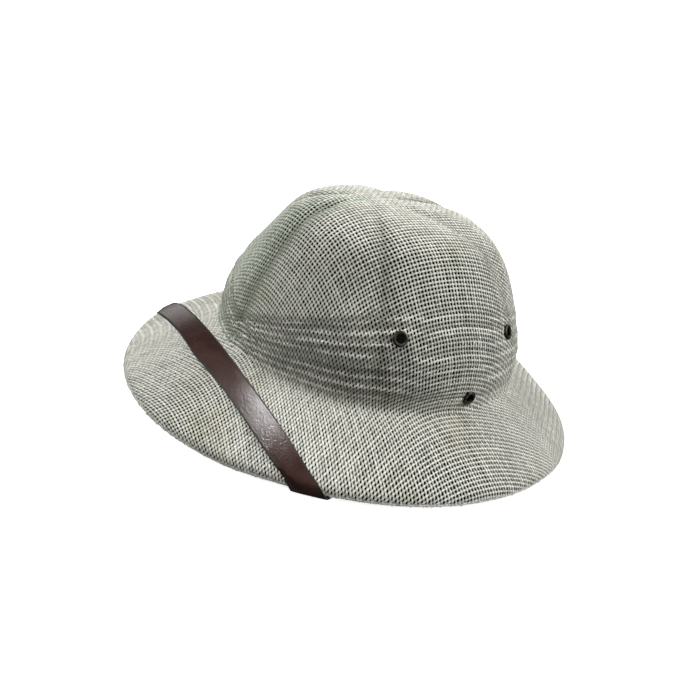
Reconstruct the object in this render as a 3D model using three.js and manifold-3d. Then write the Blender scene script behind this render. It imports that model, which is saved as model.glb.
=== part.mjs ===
// A straw sun helmet: one moulded sheet of woven straw (crown and brim), six rolled vent eyelets,
// and a leather chin strap worn over the front of the brim. Millimetres, +Z up. The hat stands on
// its rim, with the origin on the ground in the middle of its length. The front is -Y and the
// wearer's left is +X. Angles run round the hat from the front (0) through +X (90) to the back.
import * as THREE from "three";
import { ParametricGeometry } from "three/addons/geometries/ParametricGeometry.js";
import { mergeVertices } from "three/addons/utils/BufferGeometryUtils.js";
import Module from "manifold-3d";

const wasm = await Module();
wasm.setup();

const gap = 0.3; // clearance between touching pieces
const strawThickness = 1.8;
const columns = 60; // steps round the hat
const domeRows = 10; // steps from the highest pleat to the pole, outside
const innerRows = 13; // steps up the inside of the crown
const brimRows = 6;

// Plan ellipses of the rim and of the crease where the brim meets the crown.
const rim = { halfWidth: 151, halfLength: 169.2, centreY: 0, top: 6 };
const crease = { halfWidth: 99.2, halfLength: 113.2, centreY: 2.4 };
const brimBow = 1.2; // above 1 the brim leaves the crown flat and falls away towards the rim

// The rim stands on the ground at front and back, and is raised at the sides over the strap.
const sideRaise = { height: 2.2, start: 34, full: 47, fullEnd: 122, end: 136 };
const hem = { thickness: 2.6, lipOut: 0.8, shoulder: 1.4, underReach: 0.945 };
const hemInside = hem.lipOut - hem.thickness;

// Sections of the crown from the crease to the pole. Tilt raises the front, saddle raises the
// front and back over the sides, and fold is the depth of the radial creases.
const sections = [
  { height: 44.3, halfWidth: 99.2, halfLength: 113.2, centreY: 2.4, tilt: 0.3, saddle: 1.7, fold: 1.6 },
  { height: 58.3, halfWidth: 101.2, halfLength: 111.7, centreY: 2, tilt: -0.1, saddle: 1.3, fold: 1.6 },
  { height: 76.3, halfWidth: 99.5, halfLength: 108.2, centreY: 0.3, tilt: -1, saddle: 0.9, fold: 1.8 },
  { height: 94.1, halfWidth: 91.4, halfLength: 102.5, centreY: -1, tilt: -1.8, saddle: 0.4, fold: 1.9 },
  { height: 111.9, halfWidth: 79.6, halfLength: 94.9, centreY: -1.3, tilt: -2.5, saddle: 0, fold: 2.5 },
  { height: 127.5, halfWidth: 69.4, halfLength: 85.1, centreY: -3.2, tilt: -2.1, saddle: 0, fold: 2.5 },
  { height: 141.6, halfWidth: 57.1, halfLength: 71.3, centreY: -7.2, tilt: -1.5, saddle: 0, fold: 2.5 },
  { height: 150.3, halfWidth: 38.6, halfLength: 50.3, centreY: -13.7, tilt: -0.6, saddle: 0, fold: 2.2 },
  { height: 154.4, halfWidth: 18.6, halfLength: 25.2, centreY: -20.3, tilt: -0.2, saddle: 0, fold: 0.9 },
  { height: 155.3, halfWidth: 0, halfLength: 0, centreY: -25.2, tilt: 0, saddle: 0, fold: 0 },
];
// Radial creases: angle round the hat at the foot of the dome and at the pole.
const radialCreases = [
  { foot: 3.5, pole: -1 },
  { foot: 65, pole: 63 },
  { foot: 131, pole: 145 },
  { foot: 205, pole: 200 },
  { foot: 250, pole: 248 },
  { foot: 325, pole: 323 },
];
// Each radial crease is a sharp fold in a broad dip: degrees either side, share of the depth, power.
const creaseFold = [
  { spread: 13, share: 0.6, power: 1.4 },
  { spread: 32, share: 0.4, power: 2 },
];
const creaseRunOut = 18; // below the highest pleat

// Moulded pleats round the lower crown, highest first. Each runs at height + tilt cos + rise sin,
// so they fan out from the front; low is its least height over the crease.
const pleats = [
  { height: 70, tilt: -2.4, rise: 39, low: 14 },
  { height: 56, tilt: -2.4, rise: 37, low: 9 },
  { height: 48, tilt: -2.5, rise: 31.5, low: 6 },
  { height: 36, tilt: -2.6, rise: 25.5, low: 3 },
];
const pleatShape = { ridge: 1.1, groove: -0.5, below: 0.3, above: 0.25, fade: 6 };

const eyelets = [
  { name: "front", angle: 71.7, height: 93.4 },
  { name: "low", angle: 103.3, height: 53.3 },
  { name: "rear", angle: 128.8, height: 90.7 },
];
const eyelet = { bore: 3.2, barrel: 3.7, flange: 5.5, washer: 5.2, dome: 1, lift: 0.95 };
const eyeletHole = 4; // in the straw
const eyeletCalmRadius = 18; // pleats and creases are pressed flat this far round an eyelet
const roundSegments = 16;
const punchLength = 12;

// Chin strap. Each row is a line across it on the brim from its outer to its inner edge: angle
// round the hat, and reach from the crease (0) to the rim (1).
const strap = { width: 19, thickness: 1.6, across: 3 };
const strapOnBrim = [
  { outerAngle: 0, outerReach: 0.375, innerAngle: 0, innerReach: 0.1 },
  { outerAngle: 12.4, outerReach: 0.385, innerAngle: 15, innerReach: 0.15 },
  { outerAngle: 24.8, outerReach: 0.49, innerAngle: 29, innerReach: 0.285 },
  { outerAngle: 37.2, outerReach: 0.69, innerAngle: 43, innerReach: 0.54 },
  { outerAngle: 43.2, outerReach: 0.86, innerAngle: 50.3, innerReach: 0.765 },
  { outerAngle: 48.7, outerReach: 1, innerAngle: 57, innerReach: 1 },
];
const strapStepsOnBrim = 4; // between two rows of the table
// The strap's turn round the hem: place on the hem's section, mitre of the offset from it, and
// how far round the hat the slanting strap has moved on, in degrees.
const strapTurn = [
  { out: hem.lipOut, down: hem.shoulder, mitre: [1, 0.27], onward: 0.6 },
  { out: hem.lipOut, bottom: true, mitre: [1, -0.4], onward: 2.3 },
  { out: hem.lipOut, bottom: true, mitre: [0.4, -1], onward: 2.5 },
  { out: hemInside, bottom: true, mitre: [-0.4, -1], onward: 3.6 },
  { out: hemInside, bottom: true, mitre: [-1, -0.4], onward: 3.8 },
  { out: hemInside, down: 5.7, mitre: [-1.2, -0.9], onward: 4.9 },
];
const strapFreeSteps = 8; // from the hem to the inside of the crown
// The strap's end lies on the inside of the crown from y and height on, climbing in degrees, with
// its stud part way along. ReachBack and clear bend the free stretch round the brim's root.
const strapEnd = { y: 2, height: 55, climb: 31.2, length: 22, round: 6, steps: 6, stud: 14 };
const strapBend = { reachBack: 26, clear: new THREE.Vector3(-15, 0, -18) };
const stud = { base: 5, baseThickness: 1, post: 1.6, head: 4, headThickness: 1.2, seat: 0.7 };
const studHole = 2; // in the strap

const radians = THREE.MathUtils.degToRad;
const smooth = THREE.MathUtils.smoothstep;
const lerp = THREE.MathUtils.lerp;

// Crown surface.

// One column of the section table at a fractional level, as a Catmull-Rom spline. Past the pole
// it goes on down the other side, so that the dome is level there.
function sectionValue(key, level) {
  const last = sections.length - 1;
  const beyondPole = sections[last - 1][key] * (key.startsWith("half") ? -1 : 1);
  const at = (i) => {
    if (i < 0) return 2 * sections[0][key] - sections[1][key];
    return i > last ? beyondPole : sections[i][key];
  };
  const i = Math.min(Math.floor(level), last - 1);
  const t = level - i;
  const [a, b, c, d] = [at(i - 1), at(i), at(i + 1), at(i + 2)];
  const cubic = -a + 3 * b - 3 * c + d;
  const square = 2 * a - 5 * b + 4 * c - d;
  return 0.5 * (2 * b + (c - a) * t + square * t * t + cubic * t * t * t);
}

function plainCrownPoint(angle, level) {
  const t = radians(angle);
  const value = (key) => sectionValue(key, level);
  return new THREE.Vector3(
    value("halfWidth") * Math.sin(t),
    value("centreY") - value("halfLength") * Math.cos(t),
    value("height") + value("tilt") * Math.cos(t) + value("saddle") * Math.cos(2 * t),
  );
}

// Outward unit normal of a surface given as point(angle, place), by small differences.
function surfaceNormal(point, angle, place, least, most) {
  const step = 0.01;
  const before = Math.max(place - step, least);
  const after = Math.min(place + step, most);
  const round = point(angle + 0.5, place).sub(point(angle - 0.5, place));
  const along = point(angle, after).sub(point(angle, before));
  const normal = round.cross(along).normalize();
  return normal.z < -0.5 ? normal.negate() : normal;
}

function crownNormal(angle, level) {
  const pole = sections.length - 1;
  if (level > pole - 0.02) return new THREE.Vector3(0, 0, 1);
  return surfaceNormal(plainCrownPoint, angle, level, 0, pole);
}

// The level where the crown reaches a height at this angle.
function levelAtHeight(angle, height) {
  let low = 0;
  let high = sections.length - 1;
  for (let i = 0; i < 30; i += 1) {
    const middle = (low + high) / 2;
    if (plainCrownPoint(angle, middle).z < height) low = middle;
    else high = middle;
  }
  return (low + high) / 2;
}

function creaseHeight(angle) {
  return plainCrownPoint(angle, 0).z;
}

// How deep into a radial crease this place lies, from 0 to 1.
function creaseShare(angle, level) {
  const shares = radialCreases.map((radial) => {
    const at = lerp(radial.foot, radial.pole, level / (sections.length - 1));
    const apart = Math.abs(THREE.MathUtils.euclideanModulo(angle - at + 180, 360) - 180);
    const depth = (fold) => fold.share * Math.max(1 - apart / fold.spread, 0) ** fold.power;
    return creaseFold.reduce((sum, fold) => sum + depth(fold), 0);
  });
  return Math.max(...shares);
}

function pleatHeight(pleat, angle) {
  const t = radians(angle);
  return pleat.height + pleat.tilt * Math.cos(t) + pleat.rise * Math.abs(Math.sin(t));
}

// 0 where an eyelet presses the pleats and creases flat, and 1 elsewhere.
function eyeletCalm(angle, level) {
  const here = plainCrownPoint(angle, level);
  const side = Math.sign(Math.sin(radians(angle))) || 1;
  const distances = eyelets.map((e) => {
    const centre = plainCrownPoint(side * e.angle, levelAtHeight(side * e.angle, e.height));
    return here.distanceTo(centre);
  });
  return Math.min(...distances) < eyeletCalmRadius ? 0 : 1;
}

// The crown's surface with its radial creases, which run out just below the highest pleat.
function crownPoint(angle, level, outwards) {
  const point = plainCrownPoint(angle, level);
  const end = pleatHeight(pleats[0], angle);
  const strength = smooth(point.z, end - creaseRunOut, end) * eyeletCalm(angle, level);
  const fold = sectionValue("fold", level) * creaseShare(angle, level) * strength;
  return point.addScaledVector(crownNormal(angle, level), outwards - fold);
}

// Rows of the outside of the crown at one angle, from the crease up: level and how far out.
function outerCrownRows(angle) {
  const foot = creaseHeight(angle);
  const rows = [{ level: 0, outwards: 0 }];
  let lower = foot;
  [...pleats].reverse().forEach((pleat) => {
    const wanted = pleatHeight(pleat, angle);
    const height = Math.max(wanted, foot + pleat.low);
    const share = smooth(wanted - foot, 0, pleatShape.fade);
    const below = height - (height - lower) * pleatShape.below;
    const above = height + (height - lower) * pleatShape.above;
    for (const [z, out] of [[below, pleatShape.groove], [height, pleatShape.ridge], [above, 0]]) {
      const level = levelAtHeight(angle, z);
      rows.push({ level, outwards: out * share * eyeletCalm(angle, level) });
    }
    lower = above;
  });
  const top = sections.length - 1;
  const start = rows[rows.length - 1].level;
  for (let i = 1; i <= domeRows; i += 1) {
    rows.push({ level: lerp(start, top, i / domeRows), outwards: 0 });
  }
  return rows;
}

// Brim surface.

function raiseAt(angle) {
  const round = Math.abs(THREE.MathUtils.euclideanModulo(angle + 180, 360) - 180);
  const rise = smooth(round, sideRaise.start, sideRaise.full);
  const fall = smooth(round, sideRaise.fullEnd, sideRaise.end);
  return sideRaise.height * (rise - fall);
}

// The brim's upper face: reach 0 is the crease and 1 the rim.
function plainBrimPoint(angle, reach) {
  const t = radians(angle);
  const low = rim.top + raiseAt(angle);
  const halfLength = lerp(crease.halfLength, rim.halfLength, reach);
  return new THREE.Vector3(
    lerp(crease.halfWidth, rim.halfWidth, reach) * Math.sin(t),
    lerp(crease.centreY, rim.centreY, reach) - halfLength * Math.cos(t),
    low + (creaseHeight(angle) - low) * (1 - Math.max(reach, 0) ** brimBow),
  );
}

function brimPoint(angle, reach, outwards) {
  const normal = surfaceNormal(plainBrimPoint, angle, reach, 0, 1);
  if (normal.z < 0) normal.negate();
  return plainBrimPoint(angle, reach).addScaledVector(normal, outwards);
}

// A point by the rim: out from the rim ellipse in plan, at a height.
function rimPoint(angle, out, height) {
  const t = radians(angle);
  const outward = new THREE.Vector3(Math.sin(t) / rim.halfWidth, -Math.cos(t) / rim.halfLength, 0);
  const point = plainBrimPoint(angle, 1).addScaledVector(outward.normalize(), out);
  point.z = height;
  return point;
}

// Straw shell.

// The closed section at one angle: pole, down the outside, round the hem, up the inside, pole.
function shellSection(angle) {
  const outer = outerCrownRows(angle).reverse();
  const points = outer.map((row) => crownPoint(angle, row.level, row.outwards));
  for (let i = 1; i <= brimRows; i += 1) points.push(brimPoint(angle, i / brimRows, 0));
  const bottom = raiseAt(angle);
  points.push(rimPoint(angle, hem.lipOut, bottom + rim.top - hem.shoulder));
  points.push(rimPoint(angle, hem.lipOut, bottom));
  points.push(rimPoint(angle, hemInside, bottom));
  for (let i = brimRows - 1; i >= 1; i -= 1) {
    const reach = (hem.underReach * i) / (brimRows - 1);
    points.push(brimPoint(angle, reach, -strawThickness));
  }
  const corner = crownPoint(angle, 0, -strawThickness);
  corner.z = creaseHeight(angle) - strawThickness;
  points.push(corner);
  const top = sections.length - 1;
  for (let i = 1; i <= innerRows; i += 1) {
    points.push(crownPoint(angle, (top * i) / innerRows, -strawThickness));
  }
  return points;
}

function asSolid(geometry) {
  const bare = geometry.clone();
  for (const name of ["normal", "uv"]) bare.deleteAttribute(name);
  const merged = mergeVertices(bare, 1e-3);
  const vertProperties = merged.attributes.position.array;
  const triVerts = new Uint32Array(merged.index.array);
  return new wasm.Manifold(new wasm.Mesh({ numProp: 3, vertProperties, triVerts }));
}

function asGeometry(solid) {
  const mesh = solid.getMesh();
  const geometry = new THREE.BufferGeometry();
  geometry.setAttribute("position", new THREE.BufferAttribute(mesh.vertProperties, 3));
  geometry.setIndex(new THREE.BufferAttribute(mesh.triVerts, 1));
  geometry.computeVertexNormals();
  return geometry;
}

// Where an eyelet or stud stands on the crown: a matrix with +Y along the outward normal.
function crownSeat(angle, height, outwards) {
  const level = levelAtHeight(angle, height);
  const normal = crownNormal(angle, level);
  const place = plainCrownPoint(angle, level).addScaledVector(normal, outwards);
  const turn = new THREE.Quaternion().setFromUnitVectors(new THREE.Vector3(0, 1, 0), normal);
  return new THREE.Matrix4().compose(place, turn, new THREE.Vector3(1, 1, 1));
}

function punch(matrix, radius) {
  const cylinder = new THREE.CylinderGeometry(radius, radius, punchLength, roundSegments);
  return asSolid(cylinder.applyMatrix4(matrix));
}

function shellGeometry() {
  const rings = Array.from({ length: columns }, (_, i) => shellSection((360 * i) / columns));
  const rows = rings[0].length - 1;
  const onSheet = (u, v, target) => {
    const ring = rings[Math.round((1 - u) * columns) % columns];
    target.copy(ring[Math.round(v * rows)]);
  };
  const sheet = new ParametricGeometry(onSheet, columns, rows);
  let solid = asSolid(sheet);
  for (const side of [1, -1]) {
    for (const e of eyelets) {
      solid = solid.subtract(punch(crownSeat(side * e.angle, e.height, 0), eyeletHole));
    }
  }
  return asGeometry(solid);
}

// Eyelets and studs.

function latheOf(profile) {
  const points = profile.map(([radius, height]) => new THREE.Vector2(radius, height));
  return new THREE.LatheGeometry(points, roundSegments);
}

// A tube through the straw, with a rolled flange outside and a washer inside.
function eyeletGeometry() {
  const { bore, barrel, flange, washer, dome, lift } = eyelet;
  const inside = -strawThickness - lift;
  return latheOf([
    [bore, inside - dome * 0.6],
    [washer, inside - dome * 0.6],
    [washer, inside],
    [barrel, inside],
    [barrel, lift],
    [flange, lift],
    [flange - 0.4 * dome, lift + dome * 0.8],
    [barrel + 0.3 * dome, lift + dome],
    [bore, lift + dome * 0.5],
    [bore, inside - dome * 0.6],
  ]);
}

// A rivet with its base on the straw, its post through the strap and its head over the strap.
function studGeometry() {
  const strapTop = stud.baseThickness + gap + strap.thickness + gap;
  return latheOf([
    [0, 0],
    [stud.base, 0],
    [stud.base, stud.baseThickness],
    [stud.post, stud.baseThickness],
    [stud.post, strapTop],
    [stud.head, strapTop],
    [stud.head, strapTop + stud.headThickness * 0.5],
    [stud.head * 0.6, strapTop + stud.headThickness],
    [0, strapTop + stud.headThickness],
  ]);
}

// Chin strap.

// A value of the strap table between rows, as a smooth spline mirrored about the front.
function strapEdge(key, place) {
  const points = strapOnBrim.map((row, i) => new THREE.Vector2(i, row[key]));
  const mirrored = key.endsWith("Angle") ? -points[1].y : points[1].y;
  const curve = new THREE.SplineCurve([new THREE.Vector2(-1, mirrored), ...points]);
  return curve.getPoint((place + 1) / points.length).y;
}

// Where the free end lies inside the crown: s along it, w across it from -1/2 to 1/2.
function strapEndPoint(s, w, inwards) {
  const climb = radians(strapEnd.climb);
  const rounding = Math.max(s - (strapEnd.length - strapEnd.round), 0) / strapEnd.round;
  const across = strap.width * w * Math.sqrt(1 - 0.9 * rounding * rounding);
  const y = strapEnd.y + s * Math.cos(climb) - across * Math.sin(climb);
  const height = strapEnd.height + s * Math.sin(climb) + across * Math.cos(climb);
  let angle = 90;
  for (let i = 0; i < 4; i += 1) {
    const level = levelAtHeight(angle, height);
    const reach = (sectionValue("centreY", level) - y) / sectionValue("halfLength", level);
    angle = THREE.MathUtils.radToDeg(Math.acos(reach));
  }
  const level = levelAtHeight(angle, height);
  const normal = crownNormal(angle, level);
  return plainCrownPoint(angle, level).addScaledVector(normal, -strawThickness - inwards);
}

// Lines across the strap from the front centre to its free end on the wearer's left: each is a
// function of w (0 at the outer edge to 1 at the inner) and depth (0 at the face on the straw,
// 1 at the outer face).
function strapLines() {
  const off = (depth) => gap + depth * strap.thickness;
  const lines = [];
  const brimSteps = (strapOnBrim.length - 1) * strapStepsOnBrim;
  for (let i = 0; i <= brimSteps; i += 1) {
    const place = i / strapStepsOnBrim;
    lines.push((w, depth) => {
      const angle = lerp(strapEdge("outerAngle", place), strapEdge("innerAngle", place), w);
      const reach = lerp(strapEdge("outerReach", place), strapEdge("innerReach", place), w);
      return brimPoint(angle, Math.min(reach, 1), off(depth));
    });
  }
  const last = strapOnBrim[strapOnBrim.length - 1];
  for (const step of strapTurn) {
    lines.push((w, depth) => {
      const angle = lerp(last.outerAngle, last.innerAngle, w) + step.onward;
      const bottom = raiseAt(angle);
      const height = step.bottom ? bottom : bottom + rim.top - step.down;
      const [out, up] = step.mitre;
      return rimPoint(angle, step.out + out * off(depth), height + up * off(depth));
    });
  }
  const leave = lines[lines.length - 1];
  const overStud = (depth) => stud.seat + stud.baseThickness + off(depth);
  const arrive = (w, depth) => strapEndPoint(0, 0.5 - w, overStud(depth));
  for (let i = 1; i < strapFreeSteps; i += 1) {
    lines.push((w, depth) => {
      const ends = [leave(w, depth), arrive(w, depth)];
      const beyond = strapEndPoint(1, 0.5 - w, overStud(depth)).sub(ends[1]);
      const bend = ends[1].clone().addScaledVector(beyond, -strapBend.reachBack).add(strapBend.clear);
      return new THREE.QuadraticBezierCurve3(ends[0], bend, ends[1]).getPoint(i / strapFreeSteps);
    });
  }
  for (let i = 0; i <= strapEnd.steps; i += 1) {
    const s = (strapEnd.length * i) / strapEnd.steps;
    lines.push((w, depth) => strapEndPoint(s, 0.5 - w, overStud(depth)));
  }
  return lines;
}

function mirrorPoint(point) {
  point.x *= -1;
  return point;
}

function strapGeometry() {
  const left = strapLines();
  const right = left.slice(1).map((line) => (w, depth) => mirrorPoint(line(w, depth)));
  const lines = [...right.reverse(), ...left];
  const steps = lines.length - 1;
  const box = new THREE.BoxGeometry(steps, 1, strap.across, steps, 1, strap.across);
  const position = box.attributes.position;
  for (let i = 0; i < position.count; i += 1) {
    const line = lines[Math.round(position.getX(i) + steps / 2)];
    const w = (position.getZ(i) + strap.across / 2) / strap.across;
    const point = line(1 - w, position.getY(i) + 0.5);
    position.setXYZ(i, point.x, point.y, point.z);
  }
  let solid = asSolid(box);
  for (const side of [1, -1]) solid = solid.subtract(punch(studSeat(side), studHole));
  return asGeometry(solid);
}

// The stud's place inside the crown, with +Y pointing into the hollow.
function studSeat(side) {
  const place = strapEndPoint(strapEnd.stud, 0, stud.seat);
  const inwards = strapEndPoint(strapEnd.stud, 0, stud.seat + 1).sub(place).normalize();
  if (side < 0) {
    mirrorPoint(place);
    mirrorPoint(inwards);
  }
  const turn = new THREE.Quaternion().setFromUnitVectors(new THREE.Vector3(0, 1, 0), inwards);
  return new THREE.Matrix4().compose(place, turn, new THREE.Vector3(1, 1, 1));
}

// Scene graph.

const straw = new THREE.MeshStandardMaterial({ color: 0xa4a59d, roughness: 0.85, metalness: 0 });
const leather = new THREE.MeshStandardMaterial({ color: 0x4a3a34, roughness: 0.5, metalness: 0 });
const bronze = new THREE.MeshStandardMaterial({ color: 0x3a3830, roughness: 0.4, metalness: 0.9 });

function namedMesh(name, geometry, material) {
  const mesh = new THREE.Mesh(geometry, material);
  mesh.name = name;
  return mesh;
}

const hat = new THREE.Group();
hat.add(namedMesh("straw_shell", shellGeometry(), straw));
hat.add(namedMesh("chin_strap", strapGeometry(), leather));
for (const [sideName, side] of [["left", 1], ["right", -1]]) {
  for (const e of eyelets) {
    const ring = namedMesh(`eyelet_${sideName}_${e.name}`, eyeletGeometry(), bronze);
    ring.applyMatrix4(crownSeat(side * e.angle, e.height, 0));
    hat.add(ring);
  }
  const post = namedMesh(`strap_stud_${sideName}`, studGeometry(), bronze);
  post.applyMatrix4(studSeat(side));
  hat.add(post);
}

export default hat;
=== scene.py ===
import math

import bpy
import numpy as np
from mathutils import Matrix, Vector
from mathutils.bvhtree import BVHTree


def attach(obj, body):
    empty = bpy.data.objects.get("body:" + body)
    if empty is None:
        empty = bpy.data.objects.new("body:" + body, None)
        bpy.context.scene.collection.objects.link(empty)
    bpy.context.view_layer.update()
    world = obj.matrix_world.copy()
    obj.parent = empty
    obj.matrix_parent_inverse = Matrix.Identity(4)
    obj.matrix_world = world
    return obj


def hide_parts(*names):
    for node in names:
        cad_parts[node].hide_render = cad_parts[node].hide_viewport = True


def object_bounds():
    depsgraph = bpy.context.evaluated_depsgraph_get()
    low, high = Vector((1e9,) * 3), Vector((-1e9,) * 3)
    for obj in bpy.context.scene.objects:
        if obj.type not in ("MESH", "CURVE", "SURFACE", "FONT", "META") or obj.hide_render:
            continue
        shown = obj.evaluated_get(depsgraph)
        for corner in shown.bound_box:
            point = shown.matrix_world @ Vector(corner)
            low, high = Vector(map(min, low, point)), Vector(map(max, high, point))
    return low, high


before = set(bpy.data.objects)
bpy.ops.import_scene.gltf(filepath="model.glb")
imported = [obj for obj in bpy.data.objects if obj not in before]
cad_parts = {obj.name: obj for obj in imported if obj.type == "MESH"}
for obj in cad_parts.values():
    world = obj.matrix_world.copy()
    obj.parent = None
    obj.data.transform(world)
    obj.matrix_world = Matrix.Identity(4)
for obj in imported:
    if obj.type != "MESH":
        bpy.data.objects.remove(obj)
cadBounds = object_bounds()
mm = 0.001

view = {
    "aim": (0, 0, 60 * mm),
    "azimuth": 55.11,  # degrees round the hat from its front
    "elevation": 23.5,
    "roll": 15.48,
    "distance": 1069.8 * mm,
    "lens": 76.23,
    "sensor": 36,
    "shift": (-0.0283, -0.0399),
}


def fromRound(turn, height):
    # direction from the hat, by degrees round it from its front and degrees above level
    turn, height = math.radians(turn), math.radians(height)
    return Vector((math.sin(turn) * math.cos(height), -math.cos(turn) * math.cos(height), math.sin(height)))


def addCamera():
    back = fromRound(view["azimuth"], view["elevation"])
    bpy.ops.object.camera_add(location=Vector(view["aim"]) + back * view["distance"])
    camera = bpy.context.object
    camera.name = "camera"
    roll = Matrix.Rotation(math.radians(view["roll"]), 3, "Z")
    camera.rotation_euler = ((-back).to_track_quat("-Z", "Y").to_matrix() @ roll).to_euler()
    camera.data.lens = view["lens"]
    camera.data.sensor_width = view["sensor"]
    camera.data.shift_x, camera.data.shift_y = view["shift"]
    camera.data.clip_end = 100
    bpy.context.scene.camera = camera
    print("camera set")


class Wire:  # a shader socket that takes part in sums
    def __init__(self, finish, socket):
        self.finish = finish
        self.socket = socket

    def __add__(self, other):
        return self.finish.maths("ADD", self, other)

    def __radd__(self, other):
        return self.finish.maths("ADD", other, self)

    def __sub__(self, other):
        return self.finish.maths("SUBTRACT", self, other)

    def __rsub__(self, other):
        return self.finish.maths("SUBTRACT", other, self)

    def __mul__(self, other):
        return self.finish.maths("MULTIPLY", self, other)

    def __rmul__(self, other):
        return self.finish.maths("MULTIPLY", other, self)

    def span(self, low, high):  # 0 at low, 1 at high, smooth between
        inputs = {"Value": self, "From Min": low, "From Max": high}
        return self.finish.node("MapRange", {"interpolation_type": "SMOOTHSTEP"}, inputs)


class Finish:  # one material and its nodes
    def __init__(self, name):
        self.material = bpy.data.materials.new(name)
        self.material.use_nodes = True
        self.tree = self.material.node_tree
        self.tree.nodes.clear()

    def fill(self, socket, value):
        if isinstance(value, Wire):
            self.tree.links.new(value.socket, socket)
        elif socket.type == "RGBA" and len(value) == 3:
            socket.default_value = (*value, 1)
        else:
            socket.default_value = value

    def node(self, kind, settings=None, inputs=None, output=0):
        made = self.tree.nodes.new("ShaderNode" + kind)
        for key, value in (settings or {}).items():
            setattr(made, key, value)
        for key, value in (inputs or {}).items():
            self.fill(made.inputs[key], value)
        return Wire(self, made.outputs[output])

    def maths(self, operation, *values):
        return self.node("Math", {"operation": operation}, dict(enumerate(values)))

    def place(self):
        return self.node("TexCoord", output="Object")

    def attribute(self, name):
        return self.node("Attribute", {"attribute_name": name}, output="Fac")

    def noise(self, scale, detail):
        return self.node("TexNoise", inputs={"Vector": self.place(), "Scale": scale, "Detail": detail})

    def vary(self, middle, spread, noise):
        return noise * spread + (middle - spread / 2)

    def part(self, vector, axis):
        return self.node("SeparateXYZ", inputs={"Vector": vector}, output=axis)

    def blend(self, share, first, second, how="MIX"):
        # the sockets for colours go by number, since those for values have the same names
        settings = {"data_type": "RGBA", "blend_type": how}
        return self.node("Mix", settings, {0: share, 6: first, 7: second}, output=2)

    def bump(self, height, depth, strength):
        return self.node("Bump", inputs={"Height": height, "Distance": depth, "Strength": strength})

    def surface(self, **inputs):
        named = {key.replace("_", " "): value for key, value in inputs.items()}
        shader = self.node("BsdfPrincipled", inputs=named)
        end = self.tree.nodes.new("ShaderNodeOutputMaterial")
        self.tree.links.new(shader.socket, end.inputs["Surface"])
        return self.material


straw = {
    "pale": (0.9, 0.89, 0.82),
    "dull": (0.36, 0.36, 0.31),
    "dry": (0.72, 0.68, 0.48),  # in patches
    "cool": (0.82, 0.97, 0.85),  # at the front
    "roughness": 0.6,
    "gloss": 0.15,
    "flecks": 900,  # scale, as of all the noises here: to a metre
    "fleckShare": 0.45,
    "toneShare": 0.8,
    "dullToPale": (0.15, 0.95),
    "patches": 18,
    "patchShare": 0.3,
    "fleckDepth": 0.12 * mm,
}


def strawFinish():
    finish = Finish("straw")
    flecks = finish.noise(straw["flecks"], 3)
    # the strands' own tone, together with painted light and shade from the pleats, creases and crossings
    tone = finish.attribute("strawToneAndLight") * straw["toneShare"] + flecks * straw["fleckShare"]
    colour = finish.blend(tone.span(*straw["dullToPale"]), straw["dull"], straw["pale"])
    dryness = finish.noise(straw["patches"], 2).span(0.55, 0.75) * straw["patchShare"]
    colour = finish.blend(dryness, colour, straw["dry"], "MULTIPLY")
    colour = finish.blend(finish.attribute("coolTint"), colour, straw["cool"], "MULTIPLY")
    roughness = finish.vary(straw["roughness"], 0.2, finish.noise(500, 2))
    return finish.surface(Base_Color=colour, Roughness=roughness, Specular_IOR_Level=straw["gloss"],
                          Normal=finish.bump(flecks, straw["fleckDepth"], 0.5))


shadeLining = {
    "crown": (0.009, 0.0095, 0.006),  # its colours outside: painted shade, seen through the holes of the weave
    "brim": (0.022, 0.022, 0.018),
    "brimToCrown": (38 * mm, 52 * mm),  # heights between which the one goes over into the other
    "thread": (0.34, 0.33, 0.28),  # and inside
    "gap": (0.05, 0.05, 0.042),
    "depth": 1.1 * mm,  # of the outer face, painted dark as shade, below the outside of the shell
    "thickness": 0.7 * mm,
    "everyColumn": 2,  # of the felt outside
    "everyRow": 3,
    "eyeletHole": 3.9 * mm,
    "punch": 12 * mm,  # how deep the holes are cut
    "punchSides": 24,
    "threadWidth": 0.31,  # half of it, as a share of the pitch
    "threadSoft": 0.05,  # to either side of that
    "sharp": 50,  # degrees, from which an edge is shaded as sharp
}


def liningPaintedShadeFinish():
    # painted shade: a dark face under the weave that shows through its holes, darker in the crown than
    # under the brim
    finish = Finish("liningPaintedShade")
    upward = finish.part(finish.place(), 2).span(*shadeLining["brimToCrown"])
    fuzz = finish.noise(700, 3)
    colour = finish.blend(upward, shadeLining["brim"], shadeLining["crown"])
    colour = finish.blend(fuzz.span(0.3, 0.8) * 0.5, colour, (0, 0, 0))
    return finish.surface(Base_Color=colour, Roughness=0.9, Specular_IOR_Level=0.1,
                          Normal=finish.bump(fuzz, 0.25 * mm, 0.7))


def liningInsideFinish():
    # the back of the weave, patterned by its own map of the cloth in strands
    finish = Finish("liningInside")
    cloth = finish.node("UVMap", {"uv_map": "clothMap"})
    across, along = finish.part(cloth, 0), finish.part(cloth, 1)
    edge, soft = shadeLining["threadWidth"], shadeLining["threadSoft"]
    ridges, threads = [], []
    for lane in (across, along):
        off = finish.maths("ABSOLUTE", finish.maths("FRACT", lane) - 0.5)
        ridges.append(1 - off.span(0, edge + 0.06))
        threads.append(1 - off.span(edge - soft, edge + soft))
    over = finish.maths("PINGPONG", finish.maths("FLOOR", across) + finish.maths("FLOOR", along), 1)
    height = ridges[0] * over + ridges[1] * (1 - over)
    cover = finish.maths("MAXIMUM", *threads)
    fibres = finish.noise(800, 3)
    colour = finish.blend((fibres * 0.6 + height * 0.5).span(0.2, 1), shadeLining["gap"], shadeLining["thread"])
    colour = finish.blend(cover, shadeLining["gap"], colour)
    return finish.surface(Base_Color=colour, Roughness=0.8, Specular_IOR_Level=0.15,
                          Normal=finish.bump(height * cover, 0.5 * mm, 0.8))


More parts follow.
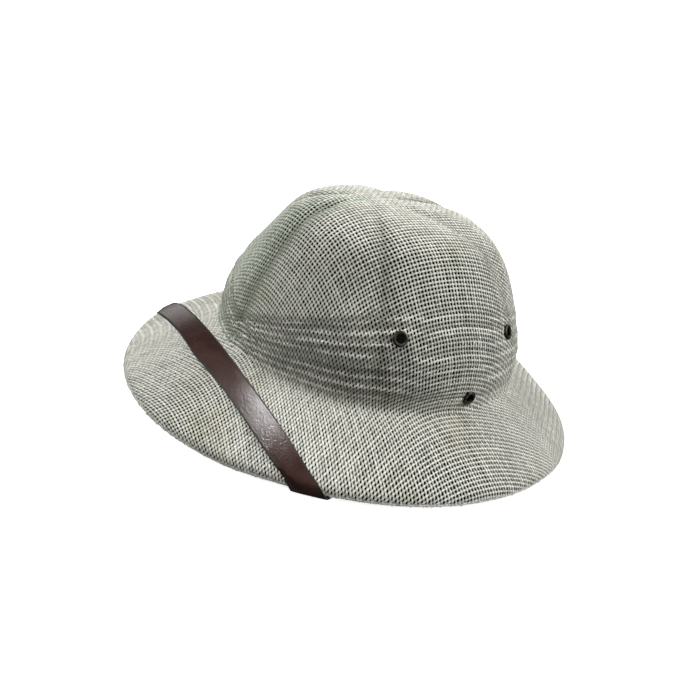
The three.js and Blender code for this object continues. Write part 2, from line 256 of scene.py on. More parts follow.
leather = {
    "colour": (0.042, 0.02, 0.016),
    "worn": (0.064, 0.033, 0.027),
    "edge": (0.004, 0.003, 0.003),
    "roughness": 0.17,
    "gloss": 0.4,
    "pores": 950,
    "poreWidth": 0.09,
    "poreShare": 0.4,
    "grain": 860,
    "grainDepth": 0.2 * mm,
    "mottle": 45,
}


def leatherFinish():
    finish = Finish("brownLeather")
    pores = finish.node("TexVoronoi", {"feature": "DISTANCE_TO_EDGE"},
                        {"Vector": finish.place(), "Scale": leather["pores"]})
    grain = finish.noise(leather["grain"], 2)
    mottle = finish.noise(leather["mottle"], 4)
    colour = finish.blend(mottle.span(0.35, 0.7), leather["colour"], leather["worn"])
    filled = pores.span(0, leather["poreWidth"]) * leather["poreShare"] + (1 - leather["poreShare"])
    colour = finish.blend(filled, leather["edge"], colour)
    roughness = finish.vary(leather["roughness"], 0.16, finish.noise(1700, 2))
    return finish.surface(Base_Color=colour, Roughness=roughness, Specular_IOR_Level=leather["gloss"],
                          Normal=finish.bump(grain + pores.span(0, 0.2) * 0.1, leather["grainDepth"], 0.6))


def leatherEdgeFinish():
    finish = Finish("leatherEdge")
    fibres = finish.noise(700, 4)
    colour = finish.blend(fibres.span(0.45, 0.85), leather["edge"], leather["colour"])
    return finish.surface(Base_Color=colour, Roughness=0.6, Normal=finish.bump(fibres, 0.2 * mm, 0.5))


bronze = {
    "colour": (0.032, 0.031, 0.024),
    "worn": (0.11, 0.105, 0.08),
    "metal": 0.85,
    "roughness": 0.4,
    "tarnish": 260,
}


def bronzeFinish():
    finish = Finish("bronze")
    tarnish = finish.noise(bronze["tarnish"], 4)
    colour = finish.blend(tarnish.span(0.48, 0.7), bronze["colour"], bronze["worn"])
    roughness = finish.vary(bronze["roughness"], 0.3, tarnish)
    return finish.surface(Base_Color=colour, Metallic=bronze["metal"], Roughness=roughness,
                          Normal=finish.bump(finish.noise(900, 2), 0.05 * mm, 0.4))


def takeUp(piece):
    # makes it the one that the next operators act on
    bpy.ops.object.select_all(action="DESELECT")
    piece.select_set(True)
    bpy.context.view_layer.objects.active = piece


def addPiece(name, data):
    made = bpy.data.objects.new(name, data)
    bpy.context.scene.collection.objects.link(made)
    takeUp(made)
    return made


def mergedCopy(name, node):
    made = addPiece(name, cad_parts[node].data.copy())
    made.data.materials.clear()
    bpy.ops.object.mode_set(mode="EDIT")
    bpy.ops.mesh.select_all(action="SELECT")
    bpy.ops.mesh.remove_doubles(threshold=0.005 * mm)
    bpy.ops.object.mode_set(mode="OBJECT")
    return made


outside = {
    "columns": 360,
    "rows": 420,
    "slant": 40,  # degrees below level, of the rays that feel the outside of the shell
    "rayStep": 0.4 * mm,
    "start": 0.5,  # metres out from the highest point
    "steepest": 1.5,  # how much deeper a hit may be for each metre on from the last
    "ledge": 2 * mm,  # and besides
    "widestHole": 14 * mm,
    "softenRound": 1.6,  # degrees
    "softenDown": 1.1 * mm,
    "pleatSpan": 4 * mm,  # the shell's own pleats are told from the rest by an average over this much
    "pleatKeep": 0.38,  # share of them that is kept
    "creases": {  # degrees round the highest point at the foot and at the top, depth and width
        "front": (4, 1, 1.7 * mm, 4.5 * mm),
        "side": (77, 73, 1 * mm, 4 * mm),
        "rear": (143, 155, 0.7 * mm, 3.5 * mm),
        "back": (198, 193, 1.2 * mm, 3.5 * mm),
        "backRight": (235, 230, 1.2 * mm, 3.5 * mm),
        "frontRight": (318, 321, 1.2 * mm, 3.5 * mm),
    },
    "creaseFootAt": 150 * mm,  # from the highest point
    "creaseShade": 0.25,  # share of a crease's depth that counts in the tone of the straw
    "creaseTop": (14 * mm, 40 * mm),  # fades in between these distances from the highest point
    "creaseFoot": (49 * mm, 66 * mm),  # and out between these heights
}


pleats = {
    "count": 8,
    "foot": 45 * mm,
    "top": (70 * mm, -2.4 * mm, 39 * mm),  # height of the highest, and by the cosine and sine of the turn
    "height": 1.3 * mm,
    "sharpness": 3,
    "least": 0.15,  # share of the height that is always there
    "groove": 0.2,  # and share that the straw between them lies lower
    "lowest": (0.03, 0.12),  # shares of the way up between which they come in
    "highest": (1.03, 1.12),  # and go out
    "wander": 0.35,  # of the distance between two
    "knots": 40,
    "fade": (58, 78, 0.4),  # degrees from the front, and what is left past them
    "seed": 5,
}


def soften(values, spread, axis, wraps):
    # Gaussian average along one axis, spread in steps
    reach = int(math.ceil(spread * 3))
    shares = np.exp(-0.5 * (np.arange(-reach, reach + 1) / spread) ** 2)
    shares /= shares.sum()
    pad = [(reach, reach) if a == axis else (0, 0) for a in range(values.ndim)]
    if wraps:
        padded = np.pad(values, pad, mode="wrap")
    else:
        padded = np.pad(values, pad, mode="reflect", reflect_type="odd")
    count = values.shape[axis]
    made = np.zeros_like(values)
    for step, share in enumerate(shares):
        made += share * np.take(padded, range(step, step + count), axis=axis)
    return made


def ease(values, low, high):
    share = np.clip((values - low) / (high - low), 0, 1)
    return share * share * (3 - 2 * share)


def unit(vectors):
    return vectors / np.maximum(np.linalg.norm(vectors, axis=-1, keepdims=True), 1e-12)


class Outside:  # the outside of the hat, measured along meridians that leave its highest point
    def __init__(self, shell):
        tree = BVHTree.FromPolygons([v.co for v in shell.data.vertices],
                                    [p.vertices for p in shell.data.polygons])
        self.pole = max((v.co for v in shell.data.vertices), key=lambda co: co.z).copy()
        self.turns = 2 * math.pi * np.arange(outside["columns"]) / outside["columns"]
        points = np.array([self.evenly(self.meridian(tree, turn)) for turn in self.turns])
        points = soften(points, outside["softenRound"] * outside["columns"] / 360, 0, True)
        self.step = np.mean([self.lengthOf(line) for line in points]) / outside["rows"]
        moulded = points - soften(points, outside["pleatSpan"] / self.step, 1, False)
        moulded[:, -1] = 0
        points = points - moulded * (1 - outside["pleatKeep"])
        points[:, 1:-1] = soften(points, outside["softenDown"] / self.step, 1, False)[:, 1:-1]
        points = np.array([self.evenly(line) for line in points])
        self.lengths = np.array([self.lengthOf(line) for line in points])
        self.relief = np.zeros(points.shape[:2])  # how far what is added stands out or lies in, from which the straw is painted paler or darker as light and shade
        self.points = self.creased(self.pleated(points))

    def meridian(self, tree, turn):
        slant = math.radians(outside["slant"])
        out = Vector((math.sin(turn), -math.cos(turn), 0))
        up = Vector((0, 0, 1))
        ray = -out * math.cos(slant) - up * math.sin(slant)
        across = out * math.sin(slant) - up * math.cos(slant)
        line = [self.pole]
        lastStep, lastDepth = 0, outside["start"]
        step = 1
        while (step - lastStep) * outside["rayStep"] < outside["widestHole"]:
            start = self.pole + across * (step * outside["rayStep"]) - ray * outside["start"]
            hit, _, _, depth = tree.ray_cast(start, ray)
            room = (step - lastStep) * outside["rayStep"] * outside["steepest"] + outside["ledge"]
            if hit is not None and depth - lastDepth < room:  # any deeper is through an eyelet's hole
                line.append(hit)
                lastStep, lastDepth = step, depth
            step += 1
        return np.array(line)

    def lengthOf(self, line):
        return np.linalg.norm(np.diff(line, axis=0), axis=1).sum()

    def evenly(self, line):
        steps = np.linalg.norm(np.diff(line, axis=0), axis=1)
        place = np.concatenate([[0], np.cumsum(steps)])
        wanted = np.linspace(0, place[-1], outside["rows"] + 1)
        return np.stack([np.interp(wanted, place, line[:, axis]) for axis in range(3)], axis=1)

    def normals(self, points):
        around = np.roll(points, -1, axis=0) - np.roll(points, 1, axis=0)
        made = unit(np.cross(np.gradient(points, axis=1), around))
        made[:, 0] = (0, 0, 1)
        return made

    def creased(self, points):
        # presses a sharp line into the bottom of each radial crease, and counts part of its depth in the
        # relief, so that its straw is painted darker as shade
        normals = self.normals(points)
        far = np.arange(outside["rows"] + 1) * self.step
        radius = np.linalg.norm((points - np.array(self.pole))[..., :2], axis=-1)
        depth = np.zeros(points.shape[:2])
        for foot, top, deep, wide in outside["creases"].values():
            at = np.radians(top + (foot - top) * np.minimum(far / outside["creaseFootAt"], 1))
            apart = (self.turns[:, None] - at[None, :] + math.pi) % (2 * math.pi) - math.pi
            depth = np.maximum(depth, deep * np.exp(-np.abs(apart) * radius / wide))
        depth *= ease(far, *outside["creaseTop"])[None, :] * ease(points[..., 2], *outside["creaseFoot"])
        self.relief -= outside["creaseShade"] * depth
        return points - normals * depth[..., None]

    def pleated(self, points):
        # fine pleats that fan out from the front, each of which comes and goes along its length
        random = np.random.default_rng(pleats["seed"])
        turn = np.arctan2(points[..., 0], -points[..., 1])
        level, byCosine, bySine = pleats["top"]
        top = level + byCosine * np.cos(turn) + bySine * np.abs(np.sin(turn))
        share = (points[..., 2] - pleats["foot"]) / (top - pleats["foot"])
        knots = random.uniform(pleats["least"], 1, (pleats["count"] + 2, pleats["knots"]))
        place = turn / (2 * math.pi) % 1 * pleats["knots"]
        before = np.floor(place).astype(int)
        between = ease(place - before, 0, 1)
        before %= pleats["knots"]
        after = (before + 1) % pleats["knots"]
        wander = knots[0][before] * (1 - between) + knots[0][after] * between
        line = share * pleats["count"] + pleats["wander"] * wander
        nearest = np.clip(np.round(line), 0, pleats["count"]).astype(int)
        crest = 1 - 2 * np.minimum(np.abs(line - nearest), 0.5)
        strength = knots[nearest + 1, before] * (1 - between) + knots[nearest + 1, after] * between
        low, high, rest = pleats["fade"]
        fade = 1 - (1 - rest) * ease(np.degrees(np.abs(turn)), low, high)
        fade = fade * ease(share, *pleats["lowest"]) * (1 - ease(share, *pleats["highest"]))
        rise = pleats["height"] * fade * (crest ** pleats["sharpness"] * strength - pleats["groove"])
        self.relief += rise
        return points + self.normals(points) * rise[..., None]

    def at(self, turn, far):
        # the point at an angle round the highest point and a distance from it, with the share of
        # the way to the rim that this is and the relief there
        turn = turn / (2 * math.pi) % 1 * outside["columns"]
        column = np.floor(turn).astype(int)
        between = turn - column
        column %= outside["columns"]
        following = (column + 1) % outside["columns"]
        length = self.lengths[column] * (1 - between) + self.lengths[following] * between
        place = np.clip(far / length, 0, 1) * outside["rows"]
        row = np.minimum(np.floor(place).astype(int), outside["rows"] - 1)
        down = (place - row)[..., None]
        left = self.points[column, row] * (1 - down) + self.points[column, row + 1] * down
        right = self.points[following, row] * (1 - down) + self.points[following, row + 1] * down
        points = left * (1 - between[..., None]) + right * between[..., None]
        return points, far / length, self.relief[column, row]


lay = {  # how the cloth lies: powers are of the distance from the highest point over 200 mm
    "over": 200 * mm,
    "density": (374, -21, -60, 32),  # strands to a metre, by power
    "turn": (-0.076, -0.302, 0.185),  # of the cloth round the highest point, by power
    "swing": ((-0.03, 0.06), (0.01, 0.03), (-0.03, 0.04), (-0.05, 0.02)),  # sine and cosine, by harmonic
    "spread": ((0.02, 0.04), (0.02, 0.01), (0.04, 0.05), (0.01, 0.04)),
    "rounds": 24,  # of closing in on a place of the cloth
    "limit": 1.45,  # of the distance, over 200 mm, while closing in
    "miss": 0.2,  # strands
}


def harmonics(rows, turn):
    return sum(sine * np.sin(waves * turn) + cosine * np.cos(waves * turn)
               for waves, (sine, cosine) in enumerate(rows, 1))


def byPower(values, z):
    return sum(value * z ** power for power, value in enumerate(values))


def toCloth(turn, far):
    # place in the flat cloth, counted in strands
    z = far / lay["over"]
    angle = turn + byPower(lay["turn"], z)
    angle = angle + z * z * harmonics(lay["swing"], turn)
    reach = far * byPower(lay["density"], z) * (1 + z * z * harmonics(lay["spread"], turn))
    return reach * np.sin(angle), -reach * np.cos(angle)


def fromCloth(u, v):
    # angle round the highest point and distance from it, found by closing in, and where it was found
    angle, reach = np.arctan2(u, -v), np.hypot(u, v)
    turn, far = angle.copy(), reach / lay["density"][0]
    for _ in range(lay["rounds"]):
        z = np.minimum(far / lay["over"], lay["limit"])
        wantedTurn = angle - byPower(lay["turn"], z) - z * z * harmonics(lay["swing"], turn)
        turn = (turn + wantedTurn) / 2
        density = byPower(lay["density"], z) * (1 + z * z * harmonics(lay["spread"], turn))
        far = (far + reach / density) / 2
    back = toCloth(turn, far)
    return turn, far, np.hypot(back[0] - u, back[1] - v) < lay["miss"]


weave = {
    "halfCount": 100,  # strands to either side of the middle one, some past the rim
    "width": 1.15 * mm,
    "flatTop": 0.85,  # share of the width
    "thickness": 0.34 * mm,
    "crimp": 0.3 * mm,
    "sink": 0.2 * mm,  # of the cloth's middle below the outside of the shell
    "stepsPerPitch": 2,
    "wander": 0.07,  # of the pitch
    "wanderKnots": (23, 7),  # in steps: a long wander and a short one
    "shortWander": 0.6,  # of the long one
    "slub": 0.16,  # share of the width, and half as much of the thickness
    "slubKnots": (5, 2),
    "ownWidth": 0.08,  # of each strand
    "eyeletClear": 4.6 * mm,
    "tone": 0.42,  # 0 dull to 1 pale
    "toneWander": (0.16, 9),  # how much, and its knots in steps
    "slubTone": 0.1,
    "ownTone": 0.08,
    "nubHighlight": 0.45,  # painted highlight: a strand is painted palest where it lies on top
    "dipShade": -0.27,  # and painted shade makes it darkest elsewhere
    "crestLightAndShade": 2.1 / mm,  # painted light and shade: the tops of the pleats are painted paler, their grooves and the creases darker
    "cool": 0.42,  # how cool the front panel is
    "coolRound": (345, 36, 20),  # its middle, half width and fade, in degrees from the front
    "coolFoot": (45 * mm, 55 * mm),  # heights between which it comes in
    "sharp": 55,
    "seed": 7,
}


def wavering(random, strands, samples, knots):
    # smooth random numbers along each strand, -1 to 1, with a knot every so many samples
    values = random.uniform(-1, 1, (strands, samples // knots + 3))
    place = np.arange(samples) / knots
    low = place.astype(int)
    share = ease(place - low, 0, 1)
    return values[:, low] * (1 - share) + values[:, low + 1] * share


def strandPaths(surface, way, lane, place, sideways):
    # the middle lines of the strands of one way of the cloth, and the surface under them
    def spot(side, forward):
        turn, far, found = fromCloth(*((side, forward) if way == 0 else (forward, side)))
        return *surface.at(turn, far), found

    points, reach, relief, found = spot(sideways, place)
    near = 0.2  # of the pitch, to either side
    beside = spot(sideways + near, place)[0] - spot(sideways - near, place)[0]
    onward = spot(sideways, place + near)[0] - spot(sideways, place - near)[0]
    normals = unit(np.cross(beside, onward) if way == 0 else np.cross(onward, beside))
    crossing = np.cos(math.pi * (lane + place)) * (1 if way == 0 else -1)  # 1 where it lies on top
    lifted = points + normals * (weave["crimp"] * crossing - weave["sink"])[..., None]
    return points, lifted, normals, crossing, relief, (reach <= 1) & found


def strandTint(surface, points):
    # how cool the straw is: the front panel of the crown is, most of all in its middle
    middle, halfWidth, fade = weave["coolRound"]
    turn = np.degrees(np.arctan2(points[..., 0], -points[..., 1] + surface.pole.y))
    off = np.abs((turn - middle + 180) % 360 - 180)
    tint = weave["cool"] * (1 - ease(off, halfWidth - fade, halfWidth))
    return tint * ease(points[..., 2], *weave["coolFoot"])


def strandSet(surface, way, random, holes):
    # all the strands of one way of the cloth: 0 for front to back, 1 for side to side
    half = weave["halfCount"]
    per = weave["stepsPerPitch"]
    lanes = np.arange(-half, half + 1)
    places = np.arange(-half * per, half * per + 1) / per
    size = len(lanes), len(places)
    lane, place = np.meshgrid(lanes, places, indexing="ij")
    longKnots, shortKnots = weave["wanderKnots"]
    shift = wavering(random, *size, longKnots)
    shift = shift + weave["shortWander"] * wavering(random, *size, shortKnots)
    paths = strandPaths(surface, way, lane, place, lane + weave["wander"] * shift)
    ground, points, normals, crossing, relief, alive = paths
    for centre in holes:
        alive &= np.linalg.norm(ground - np.array(centre), axis=-1) > weave["eyeletClear"]
    tangents = unit(np.gradient(points, axis=1))
    sides = unit(np.cross(tangents, normals))
    lifts = np.cross(sides, tangents)
    longKnots, shortKnots = weave["slubKnots"]
    slub = (wavering(random, *size, longKnots) + wavering(random, *size, shortKnots)) / 2
    own = random.uniform(-1, 1, (size[0], 1))
    width = weave["width"] * (1 + weave["slub"] * slub + weave["ownWidth"] * own) / 2
    thick = weave["thickness"] * (1 + weave["slub"] / 2 * slub) / 2
    across, up = sides * width[..., None], lifts * thick[..., None]
    top = across * weave["flatTop"]
    corners = [points - top + up, points + top + up, points + across - up, points - across - up]
    toneWander, toneKnots = weave["toneWander"]
    tone = weave["tone"] + toneWander * wavering(random, *size, toneKnots)
    # painted light and shade: paler on the crests of the pleats, darker in their grooves and in the creases
    tone = tone + weave["slubTone"] * slub + weave["ownTone"] * own + weave["crestLightAndShade"] * relief
    # painted highlight where a strand lies on top, painted shade where it dips under
    tone = tone + np.where(crossing > 0.5, weave["nubHighlight"], weave["dipShade"])
    return np.stack(corners, axis=2), alive, tone, strandTint(surface, points)


def strandMesh(name, corners, alive, tone, tint):
    # closed four-sided tubes along the living samples, as one mesh
    strands, samples = alive.shape
    index = np.arange(strands * samples * 4).reshape(strands, samples, 4)
    linked = alive[:, :-1] & alive[:, 1:]
    here = index[:, :-1][linked]
    there = index[:, 1:][linked]
    faces = []
    for side in range(4):
        sides = [(side + 1) % 4, side]
        faces.append(np.concatenate([here[:, sides], there[:, sides[::-1]]], axis=1))
    before = np.zeros_like(alive)
    after = np.zeros_like(alive)
    before[:, 1:] = linked
    after[:, :-1] = linked
    faces.append(index[after & ~before])
    faces.append(index[before & ~after][:, ::-1])
    faces = np.concatenate(faces)
    used, faces = np.unique(faces, return_inverse=True)
    faces = faces.reshape(-1, 4)
    mesh = bpy.data.meshes.new(name)
    mesh.from_pydata(corners.reshape(-1, 3)[used].tolist(), [], faces.tolist())
    for key, values in (("strawToneAndLight", tone), ("coolTint", tint)):
        kept = mesh.attributes.new(key, "FLOAT", "POINT")
        kept.data.foreach_set("value", values.ravel()[used // 4].astype(np.float32))
    made = addPiece(name, mesh)
    bpy.ops.object.shade_smooth_by_angle(angle=math.radians(weave["sharp"]))
    return made


def weaveStraw(surface, holes, finish):
    random = np.random.default_rng(weave["seed"])
    for way, names in enumerate((("warp_left", "warp_right"), ("weft_front", "weft_back"))):
        values = strandSet(surface, way, random, holes)
        middle = len(values[0]) // 2
        for name, part in zip(names, (slice(0, middle), slice(middle, None))):
            made = strandMesh(name, *(value[part] for value in values))
            made.data.materials.append(finish)
            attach(made, "root")
            print(name, len(made.data.polygons) * 2, "triangles")


edging = {
    "radius": 0.8 * mm,
    "lift": 0.2 * mm,  # of its lowest side above the edge of the rim
    "roundness": 2,
    "roughness": 0.7,
    "streaks": 420,
}


def addEdging(surface):
    # a thin cord of straw sewn round the very edge of the rim
    line = surface.points[::2, -1]
    curve = bpy.data.curves.new("rim_edging", "CURVE")
    curve.dimensions = "3D"
    curve.bevel_depth = edging["radius"]
    curve.bevel_resolution = edging["roundness"]
    spline = curve.splines.new("POLY")
    spline.points.add(len(line) - 1)
    inward = 1 - edging["radius"] / np.linalg.norm(line[:, :2], axis=1)
    for point, (x, y, z), share in zip(spline.points, line, inward):
        point.co = (x * share, y * share, z + edging["radius"] + edging["lift"], 1)
    spline.use_cyclic_u = True
    made = addPiece("rim_edging", curve)
    bpy.ops.object.convert(target="MESH")
    bpy.ops.object.shade_smooth()
    finish = Finish("rimEdging")
    tone = finish.noise(edging["streaks"], 3)
    colour = finish.blend(tone.span(0.3, 0.75), straw["dull"], straw["pale"])
    made.data.materials.append(finish.surface(Base_Color=colour, Roughness=edging["roughness"],
                                              Specular_IOR_Level=straw["gloss"],
                                              Normal=finish.bump(tone, 0.4 * mm, 0.7)))
    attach(made, "root")
    print("rim edging added")


def liningMesh(surface):
    # a thin shell under the weave: painted dark outside as the shade seen through its holes, and the back
    # of the weave inside
    columnStep, rowStep = shadeLining["everyColumn"], shadeLining["everyRow"]
    grid = surface.points[::columnStep, ::rowStep]
    normals = surface.normals(surface.points)[::columnStep, ::rowStep]
    columns, rows = grid.shape[0], grid.shape[1] - 1
    far = surface.lengths[::columnStep, None] * np.arange(1, rows + 1) / rows
    cloth = np.stack(toCloth(surface.turns[::columnStep, None] + 0 * far, far), axis=-1)
    vertices, places, faces, slots = [], [], [], []
    for layer, deep in enumerate((shadeLining["depth"], shadeLining["depth"] + shadeLining["thickness"])):
        sheet = grid - normals * deep
        first = len(vertices)
        vertices += [sheet[:, 0].mean(axis=0)] + list(sheet[:, 1:].reshape(-1, 3))
        places += [(0, 0)] + list(cloth.reshape(-1, 2))
        at = first + 1 + np.arange(columns * rows).reshape(columns, rows)
        following = np.roll(at, -1, axis=0)
        bands = np.stack([at[:, :-1], at[:, 1:], following[:, 1:], following[:, :-1]], axis=-1)
        caps = np.stack([np.full(columns, first), at[:, 0], following[:, 0]], axis=-1)
        sheetFaces = [*bands.reshape(-1, 4).tolist(), *caps.tolist()]
        faces += sheetFaces if layer == 0 else [face[::-1] for face in sheetFaces]
        slots += [layer] * len(sheetFaces)
    upper = at[:, -1] - first
    faces += np.stack([upper, at[:, -1], following[:, -1], np.roll(upper, -1)], axis=-1).tolist()
    slots += [1] * columns
    mesh = bpy.data.meshes.new("shadeLining")
    mesh.from_pydata([tuple(vertex) for vertex in vertices], [], faces)
    clothMap = mesh.uv_layers.new(name="clothMap")
    for loop in mesh.loops:
        clothMap.data[loop.index].uv = places[loop.vertex_index]
    mesh.materials.append(liningPaintedShadeFinish())
    mesh.materials.append(liningInsideFinish())
    mesh.polygons.foreach_set("material_index", slots)
    return mesh


def punch(made, eyelets):
    # cuts the eyelets' holes
    punches = []
    for centre, axis in eyelets:
        turned = axis.to_track_quat("Z", "Y").to_euler()
        bpy.ops.mesh.primitive_cylinder_add(vertices=shadeLining["punchSides"], radius=shadeLining["eyeletHole"],
                                            depth=shadeLining["punch"], location=centre, rotation=turned)
        punches.append(bpy.context.object)
    takeUp(punches[0])
    for other in punches:
        other.select_set(True)
    bpy.ops.object.join()
    takeUp(made)
    cut = made.modifiers.new("eyeletHoles", "BOOLEAN")
    cut.object = punches[0]
    cut.solver = "EXACT"
    bpy.ops.object.modifier_apply(modifier="eyeletHoles")
    bpy.data.objects.remove(punches[0])


def addLining(surface, eyelets):
    made = addPiece("shadeLining", liningMesh(surface))
    punch(made, eyelets)
    bpy.ops.object.shade_smooth_by_angle(angle=math.radians(shadeLining["sharp"]))
    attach(made, "root")
    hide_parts("straw_shell")
    print("lining added,", len(made.data.polygons), "faces")


strap = {
    "bevel": 0.3 * mm,
    "bevelFrom": 50,  # degrees
    "bevelSteps": 2,
    "squareUp": 60,  # degrees within which two triangles make one face
    "sharp": 40,
    "edgeHeight": 1.8 * mm,  # a face that is narrower is on the cut edge
    "rounding": 2,  # times that every face is divided
    "easedWithin": ((6, 12), (44, 48)),  # degrees from the front, fading in and out
    "easings": 14,
    "senseWithin": 26 * mm,  # how much of the strap tells which way it runs
}


def easeAlong(mesh):
    # smooths the run of the strap over the brim along its length alone
    places = np.array([vertex.co for vertex in mesh.vertices])
    turn = np.degrees(np.abs(np.arctan2(places[:, 0], -places[:, 1])))
    fadeIn, fadeOut = strap["easedWithin"]
    share = ease(turn, *fadeIn) * (1 - ease(turn, *fadeOut))
    linked = [[] for _ in places]
    for edge in mesh.edges:
        first, second = edge.vertices
        linked[first].append(second)
        linked[second].append(first)
    chosen, ahead, behind = [], [], []
    for index in np.nonzero(share)[0]:
        near = places[np.linalg.norm(places - places[index], axis=1) < strap["senseWithin"]]
        along = np.linalg.svd(near - near.mean(axis=0))[2][0]  # the way the strap runs here
        steps = unit(places[linked[index]] - places[index]) @ along
        chosen.append(index)
        ahead.append(linked[index][int(np.argmax(steps))])
        behind.append(linked[index][int(np.argmin(steps))])
    for _ in range(strap["easings"]):
        between = (places[ahead] + places[behind]) / 2
        places[chosen] += (between - places[chosen]) * share[chosen, None] / 2
    mesh.vertices.foreach_set("co", places.ravel())
    mesh.update()


def addStrap(face, edge):
    made = mergedCopy("strap", "chin_strap")
    easeAlong(made.data)
    bpy.ops.object.mode_set(mode="EDIT")
    bpy.ops.mesh.select_all(action="SELECT")
    squareUp = math.radians(strap["squareUp"])
    bpy.ops.mesh.tris_convert_to_quads(face_threshold=squareUp, shape_threshold=squareUp)
    bpy.ops.object.mode_set(mode="OBJECT")
    mesh = made.data
    mesh.materials.append(face)
    mesh.materials.append(edge)
    for polygon in mesh.polygons:
        sides = [(mesh.vertices[a].co - mesh.vertices[b].co).length for a, b in polygon.edge_keys]
        polygon.material_index = 1 if len(sides) == 4 and min(sides) < strap["edgeHeight"] else 0
    bevel = made.modifiers.new("roundedEdge", "BEVEL")
    bevel.width = strap["bevel"]
    bevel.segments = strap["bevelSteps"]
    bevel.material = 1  # the finish of the cut edge
    bevel.angle_limit = math.radians(strap["bevelFrom"])
    bpy.ops.object.modifier_apply(modifier="roundedEdge")
    smoother = made.modifiers.new("smooth", "SUBSURF")
    smoother.levels = strap["rounding"]
    smoother.render_levels = strap["rounding"]
    bpy.ops.object.modifier_apply(modifier="smooth")
    bpy.ops.object.shade_smooth_by_angle(angle=math.radians(strap["sharp"]))
    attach(made, "root")
    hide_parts("chin_strap")
    print("strap added")


studio = {
    "floor": 30,
    "floorDrop": 0.2 * mm,  # below the rim
    "wall": 9,  # height of the floor's turned-up edges, which low views look at
    "floorShades": ((0.86, 0.86, 0.86), (0.9, 0.9, 0.9)),
    "floorGlow": 0.9,
    "glowFrom": (0.93, 0.97),  # shares of the rim's size between which it comes in: none under the hat
    "lamps": {  # degrees round the hat from its front, height in degrees, strength, softness in degrees
        "farSide": (292, 40, 2.15, 35),
        "behind": (155, 44, 3.1, 35),
        "frontSide": (337, 40, 1.6, 35),
        "nearFill": (109, 18, 0.55, 35),
        "sheen": (320, 72, 1.15, 3),  # these two are for the strap
        "farSheen": (250, 3, 0.14, 30),
    },
    "glossOnly": ("sheen", "farSheen"),
    "noGloss": ("farSide",),
    "sky": 0.04,
}


def floorFinish():
    # pale, and glowing outside the rim
    finish = Finish("paleFloor")
    shade = finish.blend(finish.noise(2, 2), *studio["floorShades"])
    halfWidth, halfLength, _ = cadBounds[1]
    inRims = finish.node("VectorMath", {"operation": "DIVIDE"},
                         {0: finish.place(), 1: (halfWidth, halfLength, 1)})
    inRims = finish.node("VectorMath", {"operation": "LENGTH"}, {0: inRims}, output="Value")
    glow = finish.blend(inRims.span(*studio["glowFrom"]), (0, 0, 0), (1, 1, 1))
    return finish.surface(Base_Color=shade, Roughness=0.9, Emission_Color=glow,
                          Emission_Strength=studio["floorGlow"])


def addFloor():
    bpy.ops.mesh.primitive_grid_add(x_subdivisions=8, y_subdivisions=8, size=studio["floor"],
                                    location=(0, 0, -studio["floorDrop"]))
    floor = bpy.context.object
    floor.name = "floor"
    bpy.ops.object.mode_set(mode="EDIT")
    bpy.ops.mesh.region_to_loop()
    bpy.ops.mesh.extrude_edges_move(TRANSFORM_OT_translate={"value": (0, 0, studio["wall"])})
    bpy.ops.object.mode_set(mode="OBJECT")
    floor.data.materials.append(floorFinish())
    floor.visible_diffuse = False  # keeps the light that it throws back off the hat
    floor.visible_glossy = False
    floor.visible_shadow = False  # its walls stop no lamp


def addLamps():
    for name, (turn, height, strength, spread) in studio["lamps"].items():
        bpy.ops.object.light_add(type="SUN", location=(0, 0, 2))
        lamp = bpy.context.object
        lamp.name = name
        lamp.data.energy = strength
        lamp.data.angle = math.radians(spread)
        lamp.rotation_euler = fromRound(turn, height).to_track_quat("Z", "Y").to_euler()
        lamp.visible_diffuse = name not in studio["glossOnly"]
        lamp.visible_glossy = name not in studio["noGloss"]
    world = bpy.data.worlds.new("studio")
    bpy.context.scene.world = world
    world.use_nodes = True
    sky = world.node_tree.nodes["Background"]
    sky.inputs["Color"].default_value = (1, 1, 1, 1)
    sky.inputs["Strength"].default_value = studio["sky"]
    bpy.context.scene.view_settings.view_transform = "Standard"
    print("studio lit")


ring = {
    "steps": 48,
    "sharp": 50,
    "profile": (  # mm from the axis and above the straw, round the section
        (3.3, -3), (3.2, 0.3), (3.3, 0.85), (3.6, 1.2), (4.1, 1.36), (4.6, 1.3), (5.05, 1.05), (5.4, 0.65),
        (5.5, 0.35), (5.3, 0.2), (3.8, 0.2), (3.75, -2.5), (5.1, -2.55), (5.1, -3),
    ),
    "standsOut": 1.95 * mm,  # the CAD ring's top above the straw
}


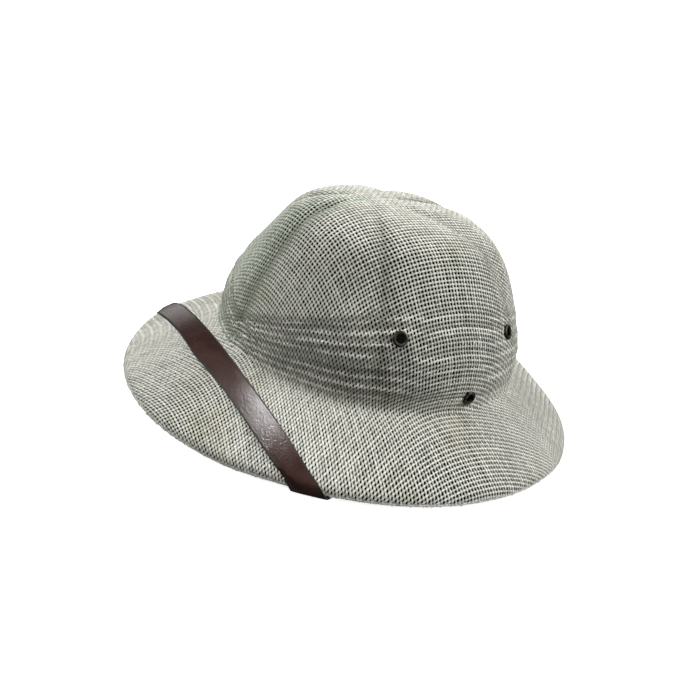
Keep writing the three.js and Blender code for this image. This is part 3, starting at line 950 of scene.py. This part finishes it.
def eyeletAxis(node):
    # centre and outward direction of the CAD ring, which is round
    points = np.array([v.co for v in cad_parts[node].data.vertices])
    centre = Vector((points.min(axis=0) + points.max(axis=0)) / 2)
    spread, axes = np.linalg.eigh(np.cov((points - points.mean(axis=0)).T))
    distinct = 2 if spread[2] - spread[1] > spread[1] - spread[0] else 0
    axis = Vector(axes[:, distinct])
    return centre, axis if axis.dot(centre) > 0 else -axis


def addEyelet(name, node, centre, axis, finish):
    # a rolled ring turned about the axis
    points = np.array([v.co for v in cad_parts[node].data.vertices])
    top = max((points - np.array(centre)) @ np.array(axis))
    seat = centre + axis * (top - ring["standsOut"])
    aside = axis.orthogonal().normalized()
    section = [seat + (aside * radius + axis * height) * mm for radius, height in ring["profile"]]
    mesh = bpy.data.meshes.new(name)
    count = len(section)
    mesh.from_pydata(section, [(i, (i + 1) % count) for i in range(count)], [])
    made = addPiece(name, mesh)
    bpy.ops.object.mode_set(mode="EDIT")
    bpy.ops.mesh.select_all(action="SELECT")
    bpy.ops.mesh.spin(steps=ring["steps"], angle=2 * math.pi, center=seat, axis=axis)
    bpy.ops.mesh.select_all(action="SELECT")
    bpy.ops.mesh.remove_doubles(threshold=0.01 * mm)
    bpy.ops.mesh.normals_make_consistent(inside=False)
    bpy.ops.object.mode_set(mode="OBJECT")
    bpy.ops.object.shade_smooth_by_angle(angle=math.radians(ring["sharp"]))
    made.data.materials.append(finish)
    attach(made, "root")
    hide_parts(node)


addCamera()
addFloor()
addLamps()
shellCopy = mergedCopy("shellCopy", "straw_shell")
surface = Outside(shellCopy)
bpy.data.objects.remove(shellCopy)
print("outside of the hat felt, the longest way down", round(surface.lengths.max() / mm), "mm")
bronzeMaterial = bronzeFinish()
eyelets = {name: eyeletAxis(name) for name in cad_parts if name.startswith("eyelet")}
weaveStraw(surface, [centre for centre, _ in eyelets.values()], strawFinish())
addEdging(surface)
addLining(surface, eyelets.values())
for name, (centre, axis) in eyelets.items():
    addEyelet(name.replace("eyelet", "rolled_eyelet"), name, centre, axis, bronzeMaterial)
print("eyelets set")
for name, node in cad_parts.items():
    if name.startswith("strap_stud"):
        node.data.materials.clear()
        node.data.materials.append(bronzeMaterial)
print("studs coloured")
addStrap(leatherFinish(), leatherEdgeFinish())
